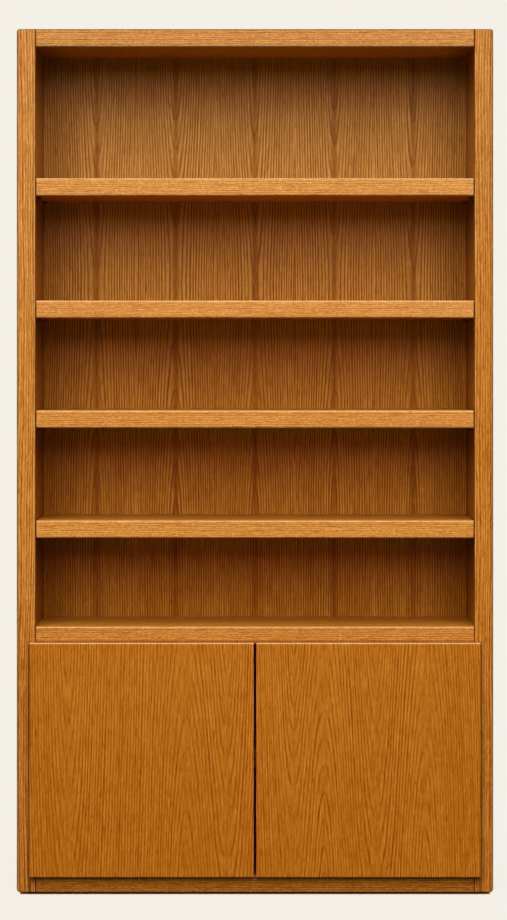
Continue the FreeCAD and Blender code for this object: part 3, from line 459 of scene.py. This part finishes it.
# Painted highlights and shade on rounded edges: lighter where an edge catches the lamps, darker where it
# turns away.
BOARD_EDGE_LIGHT_AND_SHADE = {"up": (228, 170, 106), "down": (200, 134, 66)}
TOP_EDGE_LIGHT_AND_SHADE = {"up": (144, 102, 62), "down": (236, 180, 112)}
SIDE_EDGE_LIGHT_AND_SHADE = {"up": (144, 102, 62), "in": (206, 142, 72), "out": (142, 100, 52)}
DOOR_EDGE_LIGHT_AND_SHADE = {"up": (224, 168, 106), "down": (192, 124, 54), "in": (188, 118, 54), "out": (176, 104, 30)}
JOINT = (112, 50, 4)
# Colours of painted shade in grooves, along the doors and in the gap between them.
PAINTED_SHADE_COLOUR = (98, 36, 4)
GAP_PAINTED_SHADE = (150, 28, 3)

# Year rings of each kind of board, and the strength of its fibres. Each arch is its place,
# depth and taper, as Oak.ring_height says.
BOARD_RINGS = {"ring": 6.2 * MM, "depth": 0.5, "arches": ((0.03, 0.03, 0.02),)}
BOARD_FIBRES = {"streaks": 0.5, "flecks": 0.3, "clouds": 0.2}
BOARD_FRONT_RINGS = {"ring": 4.6 * MM, "depth": 0.3, "wobble": 0.8}
BOARD_FRONT_FIBRES = {"streaks": 0.5, "flecks": 0.9, "clouds": 0.1, "shorter": 1.6}
SIDE_FRONT_RINGS = {"ring": 5.6 * MM, "depth": 0.5, "wobble": 2.2}
SIDE_FRONT_FIBRES = {"streaks": 0.7, "flecks": 0.6, "clouds": 0.2}
SIDE_FACE_RINGS = {"ring": 6.2 * MM, "depth": 0.5, "arches": ((0.0, 0.06, 0.05),), "middle": 0.9}
DOOR_RINGS = {"depth": 0.35, "middle": DOOR_MIDDLE, "wobble": 1.1, "broken": 0.3}
DOOR_ARCHES = {
    "left": {"ring": 5.6 * MM, "arches": (
        (-0.388, 0.02, -0.06), (-0.1435, 0.022, 0.07), (-0.058, 0.018, -0.06))},
    "right": {"ring": 5.1 * MM, "arches": (
        (0.08, 0.015, -0.05), (0.144, 0.018, 0.06), (0.25, 0.02, -0.06), (0.353, 0.02, 0.065))},
}
DOOR_FIBRES = {"streaks": 0.6, "flecks": 0.3, "clouds": 0.08}
BACK_RINGS = {"ring": 5.2 * MM, "depth": 0.6, "middle": 0.89, "wave": 1.46, "heart": 0.35, "broken": 0.25}
BACK_FIBRES = {"streaks": 0.7, "flecks": 0.3, "clouds": 0.2}
LEAVES = 5
LEAF_WIDTH = 0.171
LEAF_DEPTH = 15 * MM  # of the first leaf's arches
LEAF_DEPTH_STEP = 1.5 * MM  # less at each next leaf, so that the arches don't stand level
LEAF_TAPER = 0.055
SEAM_DEPTH = 1 * MM

# Seeds of each kind of board: the first one's, and the step to the next.
SEEDS = {"board": (1, 3.7), "board_front": (2, 5.3), "side_front": (4, 7.1), "side_face": (5, 9.4),
         "door": (6, 11.9)}
BACK_SEED = 8.0

# Painted light and shade across a face: two places, and how dark the wood is painted at each.
UNDERSIDE_SHADE = (0.4, INNER_HALF, 0.0, 0.4)
SIDE_HEIGHT_SHADE = (0.6, 1.1, 0.2, 0.0)
SIDE_DEPTH_SHADE = (0.06, 0.15, 0.0, 0.32)
SIDE_BELOW_BOARDS = (0.0, 0.18)
DOOR_HEIGHT_SHADE = (0.15, 0.45, 0.0, -0.05)
BACK_LOW_SHADE = (0.6, 0.95, 0.12, 0.0)
BACK_HIGH_SHADE = (1.62, 1.71, 0.0, 0.22)
BACK_SIDE_SHADE = (0.36, 0.456, 0.0, 0.16)
BACK_BELOW_BOARDS = (0.012, 0.08)

# Dark lines, a joint line and lines of painted shadow and shade: half widths where a line is full and where
# it ends, and its share.
JOINT_LINE = (0.8 * MM, 2.4 * MM)
DECK_PAINTED_SHADOW = (2.5 * MM, 6 * MM)
DECK_PAINTED_SHADOW_SHARE = 0.5
BESIDE_DOOR_PAINTED_SHADOW = (1.5 * MM, 4.5 * MM)
BESIDE_DOOR_SHADOW_SHARE = 0.5
BESIDE_DOOR_SHADOW_FADE = 3 * MM
OUTER_ARRIS_PAINTED_SHADE = (3.2 * MM, 5.5 * MM)
OUTER_ARRIS_SHADE_SHARE = 0.35


def seed(kind, number):
    first, step = SEEDS[kind]
    return step * number + first


def board_material(name, number):
    """The wide faces of a level board."""
    paint = Oak("oak_" + name, BOARD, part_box(name)[1].z, seed("board", number))
    paint.add_rings(**BOARD_RINGS)
    paint.add_fibres(**BOARD_FIBRES)
    if name != "top_panel":
        paint.stain(BOARD_FACE)
        return paint.lacquer()
    underside = paint.range(paint.turned["down"], *FACE_TURN, 0.0, 1.0)
    # Painted shade: the underside turns darker towards its ends in the corners.
    painted_corner_shade = paint.range(paint.from_middle(), *UNDERSIDE_SHADE)
    paint.darken(paint.calc("MULTIPLY", underside, painted_corner_shade))
    paint.stain(BOARD_FACE)
    # Painted shade: the underside takes a darker, less red colour.
    paint.restain(underside, TOP_UNDERSIDE_SHADE)
    paint.matt_top()
    return paint.lacquer()


def board_front_material(name, base, number):
    """The front strip of a level board, with a dark line where a fixed one meets the sides."""
    paint = Oak("oak_" + name, FRONT_LEVEL, FRONT_PLANE, seed("board_front", number))
    paint.add_rings(**BOARD_FRONT_RINGS)
    paint.add_fibres(**BOARD_FRONT_FIBRES)
    paint.stain(base)
    # Painted highlight and shade on the rounded edges.
    paint.paint_edge_light_and_shade(TOP_EDGE_LIGHT_AND_SHADE if name == "top_lipping" else BOARD_EDGE_LIGHT_AND_SHADE)
    if name in ("top_lipping", "deck_lipping", "bottom_lipping"):
        paint.shade(paint.near(paint.from_middle(), INNER_HALF, *JOINT_LINE), JOINT)
    if name == "deck_lipping":
        # Painted shadow of the door's head on the deck's front, just above the door.
        line = paint.near(paint.axes["z"], DOOR_HEAD, *DECK_PAINTED_SHADOW)
        paint.shade(paint.calc("MULTIPLY", line, DECK_PAINTED_SHADOW_SHARE), PAINTED_SHADE_COLOUR)
    if name == "top_lipping":
        paint.matt_top()
    if name == "cabinet_shelf_lipping":
        paint.dull = 1.0
    return paint.lacquer()


def side_front_material(side, number):
    """The front strip of a side."""
    paint = Oak(f"oak_{side}_side_lipping", FRONT_UPRIGHT, FRONT_PLANE, seed("side_front", number))
    paint.add_rings(**SIDE_FRONT_RINGS)
    paint.add_fibres(**SIDE_FRONT_FIBRES)
    # Painted light near the top of the front.
    paint.stain(SIDE_FRONT[side], SIDE_FRONT_PAINTED_LIGHT[side])
    # Painted shade: the front turns darker towards the foot.
    paint.restain(paint.range(paint.along, *PAINTED_SHADE_FOOT_HEIGHTS, 1.0, 0.0), SIDE_FRONT_PAINTED_SHADE[side])
    # Painted highlight and shade on the rounded edges.
    paint.paint_edge_light_and_shade(SIDE_EDGE_LIGHT_AND_SHADE)
    # Painted shade in the groove along the inner edge.
    paint.paint_groove_shade("in", PAINTED_SHADE_COLOUR)
    # Painted shadow of the door on the side's front, beside its outer edge and below its head.
    door_height = paint.range(paint.along, DOOR_HEAD, DOOR_HEAD + BESIDE_DOOR_SHADOW_FADE, BESIDE_DOOR_SHADOW_SHARE, 0.0)
    door_shadow_beside = paint.near(paint.from_middle(), DOOR_OUTER, *BESIDE_DOOR_PAINTED_SHADOW)
    paint.shade(paint.calc("MULTIPLY", door_shadow_beside, door_height), PAINTED_SHADE_COLOUR)
    # Painted shade on the side's outer rounded edge.
    outer_arris_shade = paint.near(paint.from_middle(), CASE_HALF, *OUTER_ARRIS_PAINTED_SHADE)
    paint.shade(paint.calc("MULTIPLY", outer_arris_shade, OUTER_ARRIS_SHADE_SHARE), SIDE_EDGE_LIGHT_AND_SHADE["out"])
    paint.matt_top()
    return paint.lacquer()


def side_face_material(side, number):
    """The wide faces of a side."""
    paint = Oak(f"oak_{side}_side_panel", SIDE, 0.0, seed("side_face", number))
    paint.add_rings(**SIDE_FACE_RINGS)
    paint.add_fibres(**BOARD_FIBRES)
    # Painted shade: the faces turn darker towards the bottom and towards the back.
    paint.darken(paint.range(paint.along, *SIDE_HEIGHT_SHADE))
    paint.darken(paint.range(paint.axes["y"], *SIDE_DEPTH_SHADE))
    # Painted light near the top of the face.
    paint.stain(SIDE_FACE, SIDE_FACE_PAINTED_LIGHT)
    # Painted shade just under each board.
    paint.shade_below_boards(paint.turned["in"], SIDE_FACE_SHADED, *SIDE_BELOW_BOARDS)
    paint.matt_top()
    return paint.lacquer()


def door_material(side, number):
    """A door and its edging, over which one figure of arches runs on."""
    paint = Oak(f"oak_{side}_door", FRONT_UPRIGHT, DOOR_FRONT, seed("door", number))
    paint.add_rings(**DOOR_RINGS, **DOOR_ARCHES[side])
    paint.add_fibres(**DOOR_FIBRES)
    # Painted shade: the door is darker towards its foot than above.
    paint.darken(paint.range(paint.along, *DOOR_HEIGHT_SHADE))
    paint.stain(DOOR)
    # Painted highlight and shade on the rounded edges.
    paint.paint_edge_light_and_shade(DOOR_EDGE_LIGHT_AND_SHADE)
    # Painted shade along the door's outer edge and in the gap between the doors.
    paint.paint_groove_shade("out", PAINTED_SHADE_COLOUR)
    paint.paint_groove_shade("in", GAP_PAINTED_SHADE)
    return paint.lacquer()


def back_material():
    """Veneer leaves side by side, each with a row of arches that point down."""
    arches = []
    for number in range(LEAVES):
        place = LEAF_WIDTH * (number - LEAVES // 2)
        arches.append((place, LEAF_DEPTH - LEAF_DEPTH_STEP * number, LEAF_TAPER))
        arches.append((place + LEAF_WIDTH / 2, SEAM_DEPTH, 0.0))
    arches.pop()
    paint = Oak("oak_back_panel", FRONT_UPRIGHT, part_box("back_panel")[0].y, BACK_SEED)
    paint.add_rings(**BACK_RINGS, arches=arches)
    paint.add_fibres(**BACK_FIBRES)
    # Painted shade: the back turns darker in the lowest bays, under the top board and towards the sides.
    paint.darken(paint.range(paint.along, *BACK_LOW_SHADE))
    paint.darken(paint.range(paint.along, *BACK_HIGH_SHADE))
    paint.darken(paint.range(paint.from_middle(), *BACK_SIDE_SHADE))
    # Painted light near the top of the back.
    paint.stain(BACK, BACK_PAINTED_LIGHT)
    # Painted shade just under each board.
    paint.shade_below_boards(paint.front, BACK_SHADED, *BACK_BELOW_BOARDS)
    return paint.lacquer()


BOARDS = ("shelf_1", "shelf_2", "shelf_3", "shelf_4", "cabinet_shelf", "top_panel", "cabinet_deck",
          "bottom_panel")


def wooden_materials():
    """Each wooden node's own oak, so that no two boards have the same grain."""
    made = {"back_panel": back_material()}
    for number, name in enumerate(BOARDS):
        made[name] = board_material(name, number)
    for number, (name, base) in enumerate(BOARD_FRONTS.items()):
        made[name] = board_front_material(name, base, number)
    for number, side in enumerate(("left", "right")):
        made[side + "_side_lipping"] = side_front_material(side, number)
        made[side + "_side_panel"] = side_face_material(side, number)
        made[side + "_door_panel"] = made[side + "_door_edging"] = door_material(side, number)
    return made


def beech():
    """Plain beech of the dowels: fine short flecks."""
    paint = Paint("beech")
    flecks = paint.grain(60.0, 900.0, 900.0)
    colour = paint.ramp(flecks, [(0.3, linear(226, 190, 142)), (0.7, linear(196, 154, 104))])
    paint.bump(flecks, 0.05 * MM)
    return paint.finish(colour, roughness=0.6, specular=0.3)


def zinc():
    """Plated steel with fine drawn lines."""
    paint = Paint("zinc")
    drawn = paint.grain(300.0, 300.0, 4000.0)
    colour = paint.ramp(drawn, [(0.25, linear(168, 168, 164)), (0.75, linear(214, 214, 208))])
    paint.bump(drawn, 0.02 * MM)
    roughness = paint.calc("MULTIPLY_ADD", drawn, 0.15, 0.28)
    return paint.finish(colour, roughness, metallic=1.0)


def plastic(name, light, dark, roughness, specular):
    """Moulded plastic with a faint grain."""
    paint = Paint(name)
    grain = paint.grain(1800.0, 1800.0, 1800.0)
    colour = paint.ramp(grain, [(0.3, linear(*dark)), (0.7, linear(*light))])
    paint.bump(grain, 0.04 * MM)
    return paint.finish(colour, roughness, specular)


def hardware_materials():
    """One material for each kind of hardware, by the record's material slots."""
    return {
        "beech": beech(),
        "brown_plastic": plastic("brown_plastic", (136, 78, 30), (112, 62, 22), roughness=0.6, specular=0.1),
        "white_plastic": plastic(
            "white_plastic", (232, 229, 220), (216, 212, 202), roughness=0.42, specular=0.4),
        "zinc_steel": zinc(),
    }


def dress_nodes():
    """Give every node of the frame its finish."""
    wooden = wooden_materials()
    hardware = hardware_materials()
    slots = {part["node"]: part["material_slot"] for part in frame["record"]["subparts"]}
    for name, node in nodes.items():
        chosen = wooden.get(name) or hardware[slots[name]]
        node.data.materials.clear()
        node.data.materials.append(chosen)


# ------------------------------------------------------- floor and light
PALE = linear(244, 240, 231)
# Painted shade on the floor: a brown contact line under the case and a warm tint beside it, for the wood's
# shade and reflected light.
PAINTED_CONTACT_SHADE = linear(180, 96, 40)
PAINTED_NEAR_SHADE = linear(242, 216, 200)
PAINTED_NEAR_SHADE_SHARE = 0.01  # of the contact line's reach
CONTACT_REACH = 0.03
SIDE_INSET = 8 * MM  # the contact line starts this far inside the case's outer sides
SIDE_STRETCH = 3.0  # and fades that many times faster beside them
CLOSE_SHADOW_REACH = 0.012
SHADOW_REACH = 1.2
SHADOW_SHARE = 0.05
FLOOR_HALF = 30.0
FLOOR_BOUNCE = (0.04, 0.04, 0.04, 1.0)
WORLD_COLOUR = (1.0, 0.97, 0.92, 1.0)
WORLD_LIGHT = 0.04

# Each lamp's place, the place that it points to, its size and its power in watts.
LAMPS = {
    "key": ((-0.4, -10.75, 6.6), (0, 0, 1.0), (9.9, 8.6), 1150.0),
    "top": ((0.0, -5.6, 11.0), (0, 0, 1.0), (7.8, 5.5), 720.0),
    "rear_left": ((-5.2, 4.6, 2.6), (0, 0, 0.9), (3.0, 3.0), 260.0),
    "rear_right": ((5.2, 4.6, 2.6), (0, 0, 0.9), (3.0, 3.0), 260.0),
}


def seen_directly(tree):
    """1 for rays that show the background: from the camera, by reflection or through glass."""
    path = tree.nodes.new("ShaderNodeLightPath")
    seen = path.outputs["Is Camera Ray"]
    for ray in ("Is Glossy Ray", "Is Transmission Ray"):
        either = tree.nodes.new("ShaderNodeMath")
        either.operation = "MAXIMUM"
        tree.links.new(seen, either.inputs[0])
        tree.links.new(path.outputs[ray], either.inputs[1])
        seen = either.outputs[0]
    return seen


def add_world():
    """A pale world behind the object and a dim one around it."""
    world = bpy.data.worlds.new("world")
    bpy.context.scene.world = world
    world.use_nodes = True
    tree = world.node_tree
    dim = tree.nodes["Background"]
    dim.inputs["Color"].default_value = WORLD_COLOUR
    dim.inputs["Strength"].default_value = WORLD_LIGHT
    pale = tree.nodes.new("ShaderNodeBackground")
    pale.inputs["Color"].default_value = PALE
    pale.inputs["Strength"].default_value = 1.0
    mix = tree.nodes.new("ShaderNodeMixShader")
    tree.links.new(seen_directly(tree), mix.inputs["Fac"])
    tree.links.new(dim.outputs[0], mix.inputs[1])
    tree.links.new(pale.outputs[0], mix.inputs[2])
    tree.links.new(mix.outputs[0], tree.nodes["World Output"].inputs["Surface"])


def beyond_footprint(paint):
    """How far a place on the floor lies outside the case's footprint."""
    side = paint.calc("SUBTRACT", paint.from_middle(), CASE_HALF - SIDE_INSET)
    side = paint.calc("MULTIPLY", paint.calc("MAXIMUM", side, 0.0), SIDE_STRETCH)
    front = paint.calc("SUBTRACT", FRONT_PLANE, paint.axes["y"])
    back = paint.calc("SUBTRACT", paint.axes["y"], CASE_BACK)
    ends = paint.calc("MAXIMUM", paint.calc("MAXIMUM", front, back), 0.0)
    return paint.calc("SQRT", paint.calc("MULTIPLY_ADD", side, side, paint.calc("MULTIPLY", ends, ends)))


def add_floor():
    """A pale floor that keeps the object's shadow near it and fades into the backdrop."""
    half = FLOOR_HALF
    corners = [(-half, -half, 0), (half, -half, 0), (half, half, 0), (-half, half, 0)]
    mesh = bpy.data.meshes.new("floor")
    mesh.from_pydata(corners, [], [(0, 1, 2, 3)])
    floor = bpy.data.objects.new("floor", mesh)
    bpy.context.scene.collection.objects.link(floor)
    paint = Paint("floor")
    tree = paint.tree
    away = beyond_footprint(paint)
    close = paint.range(away, 0.0, CLOSE_SHADOW_REACH, 1.0 - SHADOW_SHARE, 0.0)
    share = paint.calc("ADD", close, paint.range(away, 0.0, SHADOW_REACH, SHADOW_SHARE, 0.0))
    # Painted contact shade and warm reflected light near the case.
    painted_contact_tint = paint.ramp(
        paint.range(away, 0.0, CONTACT_REACH, 0.0, 1.0),
        [(0.0, PAINTED_CONTACT_SHADE), (PAINTED_NEAR_SHADE_SHARE, PAINTED_NEAR_SHADE), (1.0, PALE)])
    lit = paint.add("ShaderNodeBsdfDiffuse", painted_contact_tint)
    glow = paint.add("ShaderNodeEmission", PALE, 1.0)
    shown = paint.add("ShaderNodeMixShader", share, glow.outputs[0], lit.outputs[0])
    bounce = paint.add("ShaderNodeBsdfDiffuse", FLOOR_BOUNCE)
    both = paint.add("ShaderNodeMixShader", seen_directly(tree), bounce.outputs[0], shown.outputs[0])
    tree.links.new(both.outputs[0], tree.nodes["Material Output"].inputs["Surface"])
    mesh.materials.append(paint.material)


def add_lamp(name, place, aim, size, watts):
    """A rectangular soft lamp that points from one place to another."""
    data = bpy.data.lights.new(name, "AREA")
    data.shape = "RECTANGLE"
    data.size, data.size_y = size
    data.energy = watts
    lamp = bpy.data.objects.new(name, data)
    lamp.location = place
    lamp.rotation_euler = (Vector(aim) - Vector(place)).to_track_quat("-Z", "Y").to_euler()
    lamp.visible_camera = False
    bpy.context.scene.collection.objects.link(lamp)


add_camera()
dress_nodes()
add_world()
add_floor()
for lamp_name, settings in LAMPS.items():
    add_lamp(lamp_name, *settings)

scene = bpy.context.scene
scene.view_settings.view_transform = "Standard"
